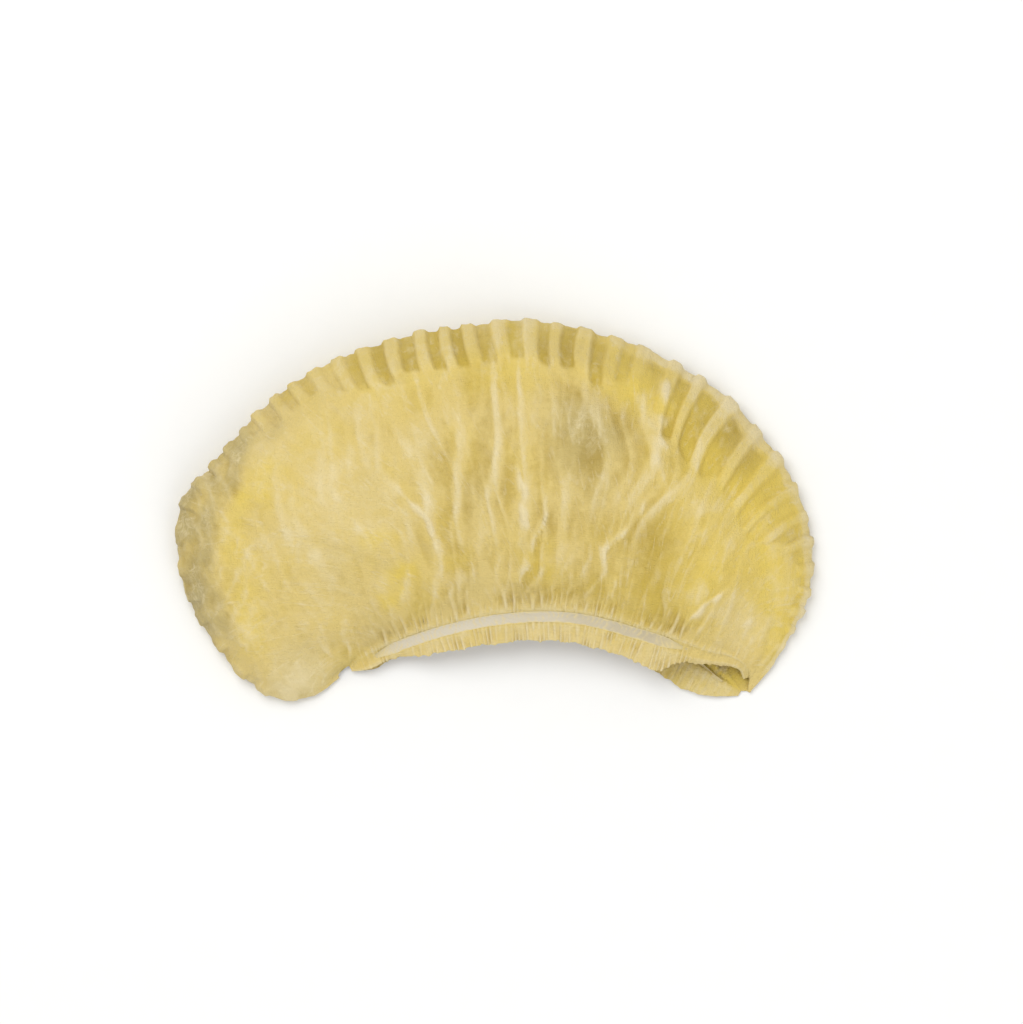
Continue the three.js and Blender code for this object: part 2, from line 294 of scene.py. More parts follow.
def plan_line(points, along):
    """Places on a plan line at shares of its length, and the unit squares that face away from the
    mouth. Between two points the line is a cubic with centripetal Catmull-Rom slopes, where a span
    counts as the square root of its length; then it is read at equal lengths. The squares are
    averaged with their neighbours many times, so that the panels have no crease at its points."""
    p = np.array(points, float)
    p = np.vstack([2 * p[0] - p[1], p, 2 * p[-1] - p[-2]])
    a, b, c, d = p[:-3], p[1:-2], p[2:-1], p[3:]
    step = np.sqrt(np.linalg.norm(np.diff(p, axis=0), axis=1))[:, None]
    before, span, after = step[:-2], step[1:-1], step[2:]
    leaving = ((b - a) / before - (c - a) / (before + span) + (c - b) / span) * span
    reaching = ((c - b) / span - (d - b) / (span + after) + (d - c) / after) * span
    t = np.linspace(0, 1, 60, endpoint=False)[None, :, None]
    fine = hermite(b[:, None], c[:, None], leaving[:, None], reaching[:, None], t).reshape(-1, 2)
    fine = np.vstack([fine, p[-2]])
    run = np.append(0, np.cumsum(np.linalg.norm(np.diff(fine, axis=0), axis=1)))
    line = np.column_stack([np.interp(along * run[-1], run, fine[:, k]) for k in (0, 1)])
    tangent = np.gradient(line, axis=0)
    square = np.column_stack([-tangent[:, 1], tangent[:, 0]])
    square /= np.linalg.norm(square, axis=1, keepdims=True)
    for _ in range(SQUARE_PASSES):
        square[1:-1] = 0.25 * (square[:-2] + square[2:]) + 0.5 * square[1:-1]
    return line, square / np.linalg.norm(square, axis=1, keepdims=True)


def between_rows(places, values, at):
    """Values between a table's rows, on cubics whose slope at a row is that of the line between its
    two neighbours, and which run out straight at the table's ends."""
    spans = np.diff(places).reshape((-1,) + (1,) * (values.ndim - 1))
    rises = np.diff(values, axis=0) / spans
    slopes = np.empty_like(values)
    slopes[1:-1] = (values[2:] - values[:-2]) / (spans[1:] + spans[:-1])
    slopes[0] = 1.5 * rises[0] - 0.5 * slopes[1]
    slopes[-1] = 1.5 * rises[-1] - 0.5 * slopes[-2]
    k = np.clip(np.searchsorted(places, at, side="right") - 1, 0, len(places) - 2)
    t = ((at - places[k]) / np.diff(places)[k]).reshape((-1,) + (1,) * (values.ndim - 1))
    return hermite(values[k], values[k + 1], slopes[k] * spans[k], slopes[k + 1] * spans[k], t)


def curve(table, at):
    """A table of (place, value) pairs read at any places, straight between its rows."""
    places, values = zip(*table)
    return np.interp(at, places, values)


def by_share(name, u):
    """One of the values that change along the strip, at shares along it."""
    return curve(BY_SHARE[name], u)


def by_row(name, row):
    """One of the values that change across the strip, at rows."""
    return curve(BY_ROW[name], row)


def ease(t):
    """0 below 0, 1 above 1, and the smooth step 3t^2 - 2t^3 between."""
    t = np.clip(t, 0, 1)
    return t * t * (3 - 2 * t)


def from_ends(along):
    """The share of the strip between a place and the weld that is nearer to it."""
    return np.minimum(along, 1 - along)


def bell(x, y, place_x, place_y, reach_x, reach_y):
    """1 at its place, falling as e to the minus square of the distance in reaches."""
    return np.exp(-(((x - place_x) / reach_x) ** 2) - ((y - place_y) / reach_y) ** 2)


def fan_place(x, y):
    """How far round the fan a place is, in millimetres at the fan's reach, and how far out."""
    right, up = x - FAN_CENTRE[0], y - FAN_CENTRE[1]
    return FAN_REACH * np.arctan2(right, up), np.hypot(right, up)


def drift(x, y, seed):
    """Smooth noise of about -1 to 1 with hills one unit apart, so 24 mm apart for x / 24: heights
    of random slopes held at the whole-number corners, blended with the ease 6t^5 - 15t^4 + 10t^3."""
    turn = np.random.default_rng(seed).uniform(0, 2 * np.pi, (256, 256))
    x, y = np.broadcast_arrays(x, y)
    left, low = np.floor(x).astype(int), np.floor(y).astype(int)
    fx, fy = x - left, y - low
    ex, ey = (t * t * t * (t * (6 * t - 15) + 10) for t in (fx, fy))

    def height(dx, dy):
        angle = turn[(left + dx) % 256, (low + dy) % 256]
        return np.cos(angle) * (fx - dx) + np.sin(angle) * (fy - dy)

    near = height(0, 0) + ex * (height(1, 0) - height(0, 0))
    far = height(0, 1) + ex * (height(1, 1) - height(0, 1))
    return 1.5 * (near + ey * (far - near))


def creased(x, y, seed):
    """Thin ridges between soft hollows, 0 to 1: one less the size of the noise, to a power."""
    return np.clip(1 - 1.5 * np.abs(drift(x, y, seed)), 0, 1) ** 1.2


def pleat(turns):
    """A pleat's height, 1 on its ridge: from there it falls softly to a flat valley over 0.42 of a
    turn, and rises again in one sharp step over the last 0.16."""
    t = turns % 1
    return 1 - ease(t / 0.42) + ease((t - 0.84) / 0.16)


def flute(turns, ridge):
    """A flute's height, 1 on its ridge, which holds the given share of a turn: from there it falls
    softly over 0.24 of a turn, and it rises in one sharp step over the last 0.09."""
    t = turns % 1
    return 1 - ease((t - ridge) / 0.24) + ease((t - 0.91) / 0.09)


def softened(field, reach):
    """A field's moving average over a square of 2 reach + 1 cells, taken twice."""
    for _ in range(2):
        for axis in (0, 1):
            pad = [(0, 0), (0, 0)]
            pad[axis] = (reach + 1, reach)
            total = np.cumsum(np.pad(field, pad, mode="edge"), axis=axis)
            size = field.shape[axis]
            upper = np.take(total, np.arange(size) + 2 * reach + 1, axis=axis)
            lower = np.take(total, np.arange(size), axis=axis)
            field = (upper - lower) / (2 * reach + 1)
    return field


def fabric_rows(along):
    """The named rows of the fabric's middle surface, one line of points each. Between a rim and the
    crown a row's plan lies on the cubic that leaves both of them squarely."""
    table = between_rows(SECTIONS[:, 0], SECTIONS[:, 1:], along)
    shape = dict(zip(SECTION_COLUMNS, table.T))
    crown, outward = plan_line(CROWN_LINE, along)
    lift = np.minimum(BACK_RIM_LIFT, 0.35 * shape["rim"])
    rows = []
    for side, place, value, rim_share, belly_share, lift_share, _ in ROWS:
        rim, into_panel = plan_line(BACK_RIM if side == "back" else FRONT_RIM, along)
        reach = np.linalg.norm(rim - crown, axis=1)
        strip = np.minimum(shape["strip"], reach / 2)
        seat = shape["seat"]
        if place == "ruffle":
            ruffle = shape["back_ruffle" if side == "back" else "front_ruffle"]
            plan = rim - (seat + ruffle)[:, None] * into_panel
        elif place == "tape":
            plan = rim + (value * seat)[:, None] * into_panel
        else:
            inset = 0 if side == "crown" else CROWN_ROUND + strip * value
            inward = seat + (reach - seat - strip) * value
            run = inward if place == "inward" else reach - inset
            t = (run / reach)[:, None]
            pull = PLAN_EASE * reach[:, None]
            near, far = rim + into_panel * pull, crown - outward * pull
            plan = (
                (1 - t) ** 3 * rim
                + 3 * (1 - t) ** 2 * t * near
                + 3 * (1 - t) * t**2 * far
                + t**3 * crown
            )
        layers = {"front": 1, "crown": 0.5, "back": 0}[side]
        height = (
            WALL / 2
            + layers * (WALL + WELD_SLIT)
            + rim_share * shape["rim"]
            + belly_share * shape["belly"]
            + lift_share * lift
        )
        rows.append(np.column_stack([plan, height]))
    return np.array(rows)


def fabric_grid(along):
    """The rows' numbers on the grid and the smooth fabric's points, on cubics through the named
    rows. Beside the tape and at the pleat the rows are averaged, so that no corner stays."""
    named = fabric_rows(along)
    chords = np.linalg.norm(np.diff(named, axis=0), axis=2).mean(axis=1)
    knots = np.append(0, np.cumsum(chords))
    steps = [row[-1] for row in ROWS[:-1]]
    row = np.concatenate([k + np.arange(n) / n for k, n in enumerate(steps)] + [[len(steps)]])
    points = between_rows(knots, named, np.interp(row, np.arange(len(ROWS)), knots))
    rounded = points
    for _ in range(ROUNDING_PASSES):
        rounded = 0.25 * (np.roll(rounded, 1, 0) + np.roll(rounded, -1, 0)) + 0.5 * rounded
    return row, points + (rounded - points) * by_row("rounded", row)[:, None, None]


def outward_normals(points, row, along):
    """Unit normals of the grid, away from the hollow: the slope along the strip crossed with the
    slope across it. Near a weld they turn upright, as the layers lie flat on each other there."""
    normal = np.cross(np.gradient(points, axis=1), np.gradient(points, axis=0))
    normal /= np.linalg.norm(normal, axis=2, keepdims=True)
    upright = np.zeros_like(normal)
    upright[..., 2] = np.where(row < CROWN, 1, -1)[:, None]
    near_crown = np.clip(1 - np.abs(row - CROWN), 0, 1)[:, None]
    opened = ease(from_ends(along) / WELD_REACH)[None, :]
    share = np.maximum(opened, near_crown)[..., None]
    normal = upright + (normal - upright) * share
    return normal / np.linalg.norm(normal, axis=2, keepdims=True)


class Fabric:
    """The whole fabric as arrays over its grid: points in metres, normals, cloth coordinates in
    metres, and for the material how far a place rises over its surroundings, kept as painted
    highlight and painted shade, how dark and how warm it is. Shares along the strip (u), rows,
    places (x, y) and fan places are kept for the reliefs."""

    def __init__(self, cap):
        along = self.along = np.linspace(0, 1, COLUMNS + 1)
        row, points = fabric_grid(along)
        self.first = {k: int(np.searchsorted(row, k)) for k in range(len(ROWS))}
        self.seat = points
        self.seat_normals = outward_normals(points, row, along)
        cell = np.linalg.norm(np.diff(points, axis=0), axis=2)
        across = np.vstack([np.zeros(COLUMNS + 1), np.cumsum(cell, axis=0)])
        points = self.wandering_edges(points, row)

        self.row = row[:, None]
        self.front = self.row <= CROWN
        self.side = np.where(self.front, 0, 40)  # the back reads the noises at another place
        self.u = along[None, :] + 0 * across
        self.x, self.y = points[..., 0], points[..., 1]
        self.fan, self.out = fan_place(self.x, self.y)
        front_rim, back_rim = across[self.first[FRONT_BAND[1]]], across[self.first[BACK_BAND[0]]]
        self.from_rim = np.where(self.front, across - front_rim, back_rim - across)

        opened = 0.15 + 0.85 * ease(from_ends(along) / 0.07)[None, :]
        flutes, fine = self.relief(cap)
        fine = fine * opened
        points = points + self.seat_normals * (flutes * opened + fine)[..., None]
        low = points[..., 2] - LOWEST
        landed = LANDING * np.exp(np.minimum(low, LANDING) / LANDING - 1)
        points[..., 2] = LOWEST + np.where(low > LANDING, low, landed)
        self.points = points * MM
        self.normals = outward_normals(points, row, along)
        self.cloth = np.stack([self.u * cap.strip_length, across * MM], axis=2)
        # Painted highlight where the fine relief rises over its surroundings, painted shade where it
        # sinks below them.
        near, wide = fine - softened(fine, 4), fine - softened(fine, 12)
        self.stand = np.clip(near / STANDS_NEAR + wide / STANDS_WIDE, -1, 1)
        self.dark, self.warm = self.tones(points[..., 0], points[..., 1])

    def wandering_edges(self, points, row):
        """Moves the ruffles' edges in and out by noise along the strip, fading to the tapes."""
        points = points.copy()
        for edge, base in ((FRONT_EDGE, FRONT_BAND[0]), (BACK_EDGE, BACK_BAND[1])):
            first, last = sorted((self.first[edge], self.first[base]))
            rows = slice(first, last + 1)
            outward = points[self.first[edge]] - points[self.first[base]]
            outward = outward / np.linalg.norm(outward, axis=1, keepdims=True)
            wander = 0.6 * drift(self.along * 95, 0.5 + edge, 19)
            wander = wander + 0.5 * drift(self.along * 38, 0.5 + edge, 20)
            wander = RUFFLE_EDGE * wander * ease(from_ends(self.along) / 0.12)
            share = 1 - np.abs(row[rows] - edge)
            points[rows] += share[:, None, None] * wander[None, :, None] * outward
        return points

    def by_back_tape(self, reach):
        """1 on the row beside the back tape, falling off in a bell over the rows round it."""
        return np.exp(-(((self.row - BACK_BAND[0]) / reach) ** 2))

    def relief(self, cap):
        """Heights along the normals, in millimetres: the flutes with the pleat's lip, and the finer
        gathers, wrinkles, folds and crumples. The lines of folds, wrinkles and gathers are kept as
        well, for painted highlight on their crests and painted shade in their hollows."""
        flutes, gathers = self.flutes(), self.gathers()
        wrinkles, folds = self.wrinkles(), self.folds()
        lip = by_row("lip", self.row + 0.3 * drift(self.u * 24, 1.5, 15)) * by_share("lip", self.u)
        crest = 1.8 * by_share("open_corner", self.u) * self.by_back_tape(0.25)
        bead = by_row("bead", self.row) + crest
        # Painted highlight along the crests of folds, wrinkles and gathers, painted shade in their
        # hollows.
        self.lines = 0.5 * folds + 0.3 * wrinkles + 0.15 * gathers
        fine = (
            cap.gather_depth * (gathers + bead)
            + cap.wrinkle_depth * (wrinkles + folds)
            + cap.crumple_depth * self.crumples()
        )
        return cap.flute_depth * (flutes + lip), fine

    def flutes(self):
        """The crown's flutes, small crimps on them, and lobes of the left outline. A place's turn
        is the strip's length over the pitch, summed up to it, made a little uneven by noise. The
        material's shares of painted shade in the hollows, painted highlight on the crests and pale
        rim are kept."""
        u, row = self.u, self.row
        count = np.cumsum(CROWN_LENGTH / COLUMNS / by_share("flute_pitch", u[0]))
        turns = count + 0.22 * drift(u[0] * 31, 0.5, 11)
        turns = turns[None, :] + 0.1 * drift(u * 28, row * 0.4, 12)
        height = flute(turns, by_share("flute_ridge", u))
        depth = by_share("flute_depth", u[0]) * (1 + 0.45 * drift(u[0] * 23, 3.5, 13))
        start = by_share("flute_start", u) + 0.6 * drift(u * 44, 7.5, 17)
        inner = ease((row - start) / 0.55)
        crimps = 0.14 * np.cos(15 * turns + 3 * drift(u * 40, row * 0.5, 14))
        lobes = 1.6 * drift(u[0] * 36, 0.5, 16) + 0.6 * drift(u[0] * 90, 0.5, 10)

        rim = by_share("pale_rim", u) * by_row("pale_rim", row + 0.2 * drift(u * 60, 2.5, 79))
        shade = by_share("valley_shade_strength", u) * (0.75 + 0.6 * drift(u * 26, 9.5, 18))
        shade = shade * (1 - 0.85 * rim) * inner * by_row("valley_shade_strength", row)
        # Painted shade in the flutes' hollows and painted highlight on their crests.
        self.valley = shade * (1 - height)
        self.ridge = shade * height * by_share("ridge_highlight_strength", u)
        self.rim = rim
        return (
            depth * (height - 0.5) * inner * by_row("flutes", row)
            + lobes * by_share("lobes", u) * by_row("lobes", row)
            + crimps * by_row("crimps", row)
        )

    def gathers(self):
        """Pleats round the fan. Each kind rises where it leaves the tape and eases off to its far
        end, and noise makes some of them higher than others."""
        total = 0
        for pitch, near, far, height, seed in GATHERS:
            turns = self.fan / pitch
            wave = turns + 1.1 * drift(turns / 3.5, self.out / 28 + self.side, seed)
            full = max(near, 0)
            rise = ease((self.from_rim - near) / (0.5 * abs(near) + 2))
            rise = rise * (1 - ease((self.from_rim - full) / (far - full)))
            mottle = 0.6 + 1.3 * drift(turns / 2.2, self.out / 7 + self.side, seed + 5)
            mottle = np.clip(mottle, 0, 1.6)
            total = total + height * rise * (pleat(wave) - PLEAT_MIDDLE) * mottle
        return total * by_row("gathers", self.row) * by_share("gathers", self.u)

    def wrinkles(self):
        """Wider pleats on meandering lines of the fan, in patches given by noise."""
        meander = self.fan + 5 * drift(self.fan / 45, self.out / 50 + self.side, 31)
        total = 0
        for pitch, length, height, seed in WRINKLES:
            turns, far = meander / pitch, self.out / length + self.side
            wave = turns + 0.7 * drift(turns / 2.5, far, seed)
            patchy = np.clip(0.45 + 1.1 * drift(turns / 1.7, far, seed + 5), 0, 1)
            total = total + height * (pleat(wave) - PLEAT_MIDDLE) * patchy
        return total * by_row("wrinkles", self.row) * curve(WRINKLE_PLACES, self.x)

    def crumples(self):
        """Two sizes of creased noise, strongest in the lump at the puffed end, on a slow swell."""
        x, y, side = self.x, self.y, self.side
        crumple = 0.55 * (creased(x / 8, y / 14 + side, 41) - 0.4)
        crumple = crumple + 0.3 * (creased(x / 3.4, y / 5 + side, 42) - 0.4)
        swell = 1.1 * drift(x / 24, y / 30 + side, 43)
        rough = 0.3 + 0.9 * bell(x, y, *LUMP)
        return (rough * crumple + swell) * by_row("crumples", self.row)

    def folds(self):
        """The folds of the front. Each rises towards its wavering line as a bell over one plus the
        square of the distance, counted in narrow steps on its steep side and wide ones on its soft
        side, and it tapers towards both its ends."""
        x, y = self.x, self.y
        total = np.zeros_like(x)
        wavering_x = x + 2.4 * drift(x / 13, y / 12, 61) + 0.8 * drift(x / 4, y / 5, 63)
        fading = np.clip(0.75 + 0.9 * drift(x / 7, y / 8, 62), 0.05, 1.2)
        for line, rise, width in FOLDS:
            nearest, across, run = (np.full_like(x, np.inf) for _ in range(3))
            length = 0
            for (ax, ay), (bx, by) in zip(line, line[1:]):
                dx, dy = bx - ax, by - ay
                step = math.hypot(dx, dy)
                share = np.clip(((wavering_x - ax) * dx + (y - ay) * dy) / step**2, 0, 1)
                away = np.hypot(wavering_x - ax - share * dx, y - ay - share * dy)
                leftward = (dx * (y - ay) - dy * (wavering_x - ax)) / step
                closer = away < nearest
                across = np.where(closer, leftward, across)
                run = np.where(closer, length + share * step, run)
                nearest = np.minimum(nearest, away)
                length += step
            taper = ease(np.minimum(run, length - run) / (0.3 * length) + 0.05)
            reach = np.where(across * width > 0, STEEP_SIDE, SOFT_SIDE) * abs(width)
            height = np.exp(-((nearest / (2.2 * reach)) ** 2)) / (1 + (nearest / reach) ** 2)
            total += FOLD_RISE * rise * taper * height
        return total * fading * by_row("folds", self.row)

    def tones(self, x, y):
        """How dark and how warm the fabric is: bells round the places of TONES, which noise shifts
        on the front, painted shade in the flutes' hollows and painted highlight on their crests,
        painted highlight and shade along the relief's own lines, and bands along and across the
        strip, some of which are painted shade or painted light. Below zero it is paler or greyer."""
        u, row = self.u, self.row
        dark, warm = np.zeros_like(x), np.zeros_like(x)
        near_x = x + 5 * drift(x / 16, y / 13, 74) + 2 * drift(x / 6, y / 6, 75)
        near_y = y + 6 * drift(x / 14, y / 16, 76) + 2 * drift(x / 6, y / 7, 77)
        for side, place_x, place_y, reach_x, reach_y, warmer, darker in TONES:
            on_front = side == "front"
            away = (near_x, near_y) if on_front else (x, y)
            share = bell(*away, place_x, place_y, reach_x, reach_y) * (self.front == on_front)
            dark += darker * share
            warm += warmer * share
        dark += 0.16 * drift(x / 16, y / 22 + self.side, 71)
        warm += 0.22 * drift(x / 20, y / 26 + self.side, 72)
        # Painted shade, darker and warmer, in the flutes' hollows, painted highlight on their crests
        # and along the crests of folds, wrinkles and gathers, painted shade in the hollows of these,
        # and the paler rim.
        dark += 1.5 * self.valley - 0.2 * self.ridge - self.lines - self.rim
        warm += 0.15 * self.valley
        warm += 0.4 * by_row("warm_strip", row) * by_share("warm_strip", u)

        left = by_share("left_end", u) * (0.75 + 0.9 * drift(x / 9, y / 12, 78))
        edge = by_row("grey_edge", row + 0.5 * drift(u * 22, 5.5, 73))
        warm += left * (0.45 * by_row("warm_left", row) - 0.9 * edge)
        dark += 0.45 * left * edge

        # Painted shade on the back panel's inner face and in the hollow at the open corner; painted
        # light on the back ruffle there, painted paler where the front panel shades it; and a
        # painted highlight, warmer too, on the crest by the back tape.
        inside_shade, corner = by_row("inside_shade", row), by_share("open_corner", u)
        crest = self.by_back_tape(0.3) * corner
        flap_painted_light = by_row("corner_flap_light", row) * corner
        hollow = by_row("corner_hollow_shade", row) * corner
        warm += 0.5 * inside_shade + 1.5 * crest + 0.4 * hollow + 0.6 * flap_painted_light
        dark += 0.2 * inside_shade + 0.8 * hollow - 0.2 * crest - 0.6 * flap_painted_light
        # Painted light: the front ruffle is painted paler, as if lifted out of its shade.
        dark -= 0.35 * by_row("pale_ruffle", row)
        return dark, warm


_made = {}


def once(name, make, *settings):
    """What several pieces share, made once: the fabric's grid and the materials."""
    if name not in _made:
        _made[name] = make(*settings)
    return _made[name]


def closed_cloth(name, outer, inner, normals, cloth, values):
    """A thin closed sheet: the outer grid, the inner grid facing the other way, and a narrow rim
    round both. Its shading follows the grid's own normals, so that neighbouring pieces meet
    without a line."""
    rows, columns = outer.shape[:2]
    count = rows * columns
    k = np.arange(count).reshape(rows, columns)
    a, b, c, d = k[:-1, :-1], k[:-1, 1:], k[1:, 1:], k[1:, :-1]
    face = np.stack([a, b, c, d], axis=-1).reshape(-1, 4)
    back = np.stack([a, d, c, b], axis=-1).reshape(-1, 4) + count
    loop = np.concatenate([k[0, :-1], k[:-1, -1], k[-1, :0:-1], k[:0:-1, 0]])
    ahead = np.roll(loop, -1)
    rim = np.stack([loop + count, ahead + count, ahead, loop], axis=-1)
    quads = np.concatenate([face, back, rim]).astype(np.int32)

    mesh = bpy.data.meshes.new(name)
    mesh.vertices.add(2 * count)
    both = np.concatenate([outer.reshape(-1, 3), inner.reshape(-1, 3)])
    mesh.vertices.foreach_set("co", both.ravel())
    mesh.loops.add(quads.size)
    mesh.loops.foreach_set("vertex_index", quads.ravel())
    mesh.polygons.add(len(quads))
    mesh.polygons.foreach_set("loop_start", np.arange(0, quads.size, 4, dtype=np.int32))
    mesh.update(calc_edges=True)
    mesh.polygons.foreach_set("use_smooth", np.ones(len(quads), bool))
    uv = np.tile(cloth.reshape(-1, 2), (2, 1))[quads.ravel()]
    mesh.uv_layers.new(name="cloth").data.foreach_set("uv", uv.ravel())
    for label, value in values.items():
        layer = mesh.attributes.new(label, "FLOAT", "POINT")
        sign = -1 if label == "stand" else 1
        layer.data.foreach_set("value", np.concatenate([value.ravel(), sign * value.ravel()]))
    ways = np.concatenate([normals.reshape(-1, 3), -normals.reshape(-1, 3)])
    mesh.normals_split_custom_set_from_vertices(ways.tolist())
    piece = bpy.data.objects.new(name, mesh)
    bpy.context.scene.collection.objects.link(piece)
    return piece


class Wire:
    """A socket of a shader. Sums and products of wires and numbers add the Math nodes for them."""

    def __init__(self, shader, socket):
        self.shader, self.socket = shader, socket

    def _math(self, kind, *values):
        return self.shader.node("ShaderNodeMath", {"operation": kind}, values)["Value"]

    def __add__(self, other):
        return self._math("ADD", self, other)

    def __sub__(self, other):
        return self._math("SUBTRACT", self, other)

    def __rsub__(self, other):
        return self._math("SUBTRACT", other, self)

    def __mul__(self, other):
        return self._math("MULTIPLY", self, other)

    __radd__, __rmul__ = __add__, __mul__

    def __abs__(self):
        return self._math("ABSOLUTE", self)

    def sine(self):
        return self._math("SINE", self)

    def clamped(self, low=0.0, high=1.0):
        return self._math("MAXIMUM", self._math("MINIMUM", self, high), low)


class Shader:
    """A material's node tree, built from Python."""

    def __init__(self, name):
        self.material = bpy.data.materials.new(name)
        self.material.use_nodes = True
        self.tree = self.material.node_tree
        self.tree.nodes.clear()

    def node(self, kind, settings=None, inputs=()):
        """Adds a node, its settings first, then its sockets by name or in order: its outputs."""
        made = self.tree.nodes.new(kind)
        for key, value in (settings or {}).items():
            setattr(made, key, value)
        pairs = inputs.items() if isinstance(inputs, dict) else enumerate(inputs)
        for key, value in pairs:
            socket = made.inputs[key]
            if isinstance(value, Wire):
                self.tree.links.new(value.socket, socket)
            elif isinstance(value, tuple) and len(value) == 3 and socket.type == "RGBA":
                socket.default_value = (*value, 1)
            else:
                socket.default_value = value
        return {s.name: Wire(self, s) for s in made.outputs if s.enabled}

    def mixed(self, first, second, share):
        """One colour turned into another by a share."""
        values = {"Factor": share, 6: first, 7: second}
        return self.node("ShaderNodeMix", {"data_type": "RGBA"}, values)["Result"]

    def painted(self, name):
        """A value that a piece's mesh holds at each point."""
        return self.node("ShaderNodeAttribute", {"attribute_name": name})["Fac"]

    def cloth(self):
        """Coordinates in metres on the piece's own cloth."""
        return self.node("ShaderNodeUVMap", {"uv_map": "cloth"})["UV"]

    def space(self):
        """Coordinates in metres in the part's own frame."""
        return self.node("ShaderNodeTexCoord")["Object"]

    def noise(self, where, scale, detail, roughness=0.5, stretch=None, distortion=0.0):
        """Noise of about 0 to 1, its hills about one over the scale apart."""
        if stretch:
            placed = {"Vector": where, "Scale": stretch}
            where = self.node("ShaderNodeMapping", {}, placed)["Vector"]
        return self.node("ShaderNodeTexNoise", {}, {
            "Vector": where,
            "Scale": scale,
            "Detail": detail,
            "Roughness": roughness,
            "Distortion": distortion,
        })["Fac"]

    def surface(self, wire):
        self.node("ShaderNodeOutputMaterial", {}, {"Surface": wire})
        return self.material


def thin_lines(noise, sharpness):
    """Thin lines where a noise passes its middle."""
    return (1 - sharpness * abs(noise - 0.5)).clamped()


def nonwoven_material(cap):
    """Pale yellow spunbond: long fibres laid every way, lines of small bond dots, painted shade
    that makes the hollows of the crimps warmer and darker, painted highlight that makes their
    crests and fine creases paler, grey with pale curls where it is thin, and light that comes
    through the cloth."""
    s = Shader("nonwoven")
    cloth, space = s.cloth(), s.space()
    # The relief's painted highlight and shade, then the darkness and warmth held by the mesh.
    stand, dark, warm = s.painted("stand"), s.painted("dark"), s.painted("warm")

    cloud = s.noise(space, 42.0, 2.0, 0.6)
    mottle = s.noise(space, 230.0, 3.0, 0.7)
    streak = s.noise(cloth, 150.0, 2.0, 0.6, (1, 0.14, 1), 0.4)
    swirl = s.noise(space, 85.0, 3.0, 0.6, (1, 0.7, 1), 1.6)
    crinkle = s.noise(space, 420.0, 2.0, 0.65, (1, 0.6, 1))
    speckle = s.noise(space, 1100.0, 1.0, 0.7)
    fibres_up = s.noise(space, 1700.0, 1.0, 0.75, (1, 0.16, 1))
    fibres_along = s.noise(space, 1700.0, 1.0, 0.75, (0.16, 1, 1))
    # Thin pale lines along fine creases: painted highlight.
    crease = thin_lines(s.noise(cloth, 75.0, 3.0, 0.55, (1, 0.3, 1), 0.8), 26.0)
    crease = crease * (3.0 * (mottle - 0.42)).clamped()
    curls = thin_lines(s.noise(space, 190.0, 2.0, 0.5, distortion=1.2), 14.0)

    thin = (0 - 2.0 * warm - 0.8).clamped()
    # Painted shade in the relief's hollows, which also makes them warmer, and painted highlight on
    # its crests.
    hollow = (0 - stand).clamped()
    ridge = stand.clamped()
    depth = (
        0.6 * hollow
        + dark
        + 0.8 * (cloud - 0.5)
        + 0.9 * (swirl - 0.5)
        + 0.7 * (mottle - 0.5)
        + 0.3 * (streak - 0.5)
        + 1.2 * thin * (crinkle - 0.5)
    ).clamped()
    pale = (
        0.75 * ridge
        - 0.9 * dark.clamped(-1.0, 0.0)
        + 0.5 * (streak - 0.55)
        + 0.9 * (swirl - 0.52)
        + 0.6 * crease
        + 0.4 * thin * curls
    ).clamped()
    warmth = (warm + 0.25 * hollow + 0.9 * (cloud - 0.5)).clamped()
    colour = s.mixed(tuple(cap.middle), tuple(cap.deep), depth)
    colour = s.mixed(colour, tuple(cap.warm), 0.85 * warmth)
    colour = s.mixed(colour, tuple(cap.grey), (0 - 0.8 * warm).clamped())
    colour = s.mixed(colour, tuple(cap.pale), pale)
    colour = s.mixed(colour, tuple(cap.deep), (1.6 * (speckle - 0.66)).clamped())

    dots = s.node(
        "ShaderNodeTexVoronoi", {}, {"Vector": cloth, "Scale": 900.0, "Randomness": 0.35}
    )["Distance"]
    bond = (1 - 2.2 * dots).clamped()
    height = 0.5 * (fibres_up + fibres_along) + 0.9 * crinkle + 0.5 * streak - 0.25 * bond
    bump = s.node("ShaderNodeBump", {}, {"Strength": 0.7, "Distance": 0.0008, "Height": height})
    face = s.node("ShaderNodeBsdfPrincipled", {}, {
        "Base Color": colour,
        "Roughness": 0.8,
        "Specular IOR Level": 0.3,
        "Sheen Weight": 0.15,
        "Sheen Roughness": 0.5,
        "Normal": bump["Normal"],
    })["BSDF"]
    through = s.node("ShaderNodeBsdfTranslucent", {}, {"Color": colour, "Normal": bump["Normal"]})
    both = s.node("ShaderNodeMixShader", {}, {0: cap.translucency, 1: face, 2: through["BSDF"]})
    return s.surface(both["Shader"])


